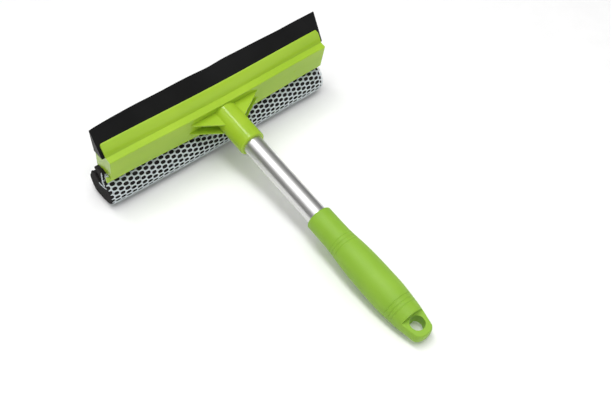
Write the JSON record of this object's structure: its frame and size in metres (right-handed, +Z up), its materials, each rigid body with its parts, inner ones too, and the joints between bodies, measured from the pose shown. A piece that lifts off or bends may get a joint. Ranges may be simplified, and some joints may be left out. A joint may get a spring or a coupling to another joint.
{
  "type": "window cleaning squeegee",
  "caption": "Hand squeegee with a rubber wiping blade above a mesh-covered sponge on a moulded head, and a metal tube handle with a swelling grip and a hang hole.",
  "frame": {"origin": "on the table that the tool lies on, under the middle of its footprint", "axes": "+X along the head, to the right as seen from the grip; +Y from the grip towards the head; +Z up, away from the table"},
  "size_m": [0.256, 0.3296, 0.0987],
  "materials": {
    "head_plastic": "smooth moulded lime green",
    "grip_plastic": "satin lime green with a fine grain",
    "blade_rubber": "matt black",
    "foam": "black open-cell sponge",
    "netting": "white knitted netting",
    "tube_metal": "satin polished"
  },
  "bodies": {
    "handle_and_head": {"head_body": "head_plastic", "handle_tube": "tube_metal", "hand_grip": "grip_plastic", "socket_rivet": "tube_metal"},
    "blade": {"rubber_blade": "blade_rubber"},
    "sponge_cartridge": {"sponge_rail": "head_plastic", "sponge_liner": "foam", "sponge_pad": "foam", "mesh_cover": "netting"}
  },
  "joints": [
    {"name": "blade_slide", "type": "slide", "parent": "handle_and_head", "child": "blade", "axis": [1, 0, 0], "range_m": [-0.245, 0.245]},
    {"name": "sponge_slide", "type": "slide", "parent": "handle_and_head", "child": "sponge_cartridge", "axis": [1, 0, 0], "range_m": [-0.245, 0.245]}
  ]
}
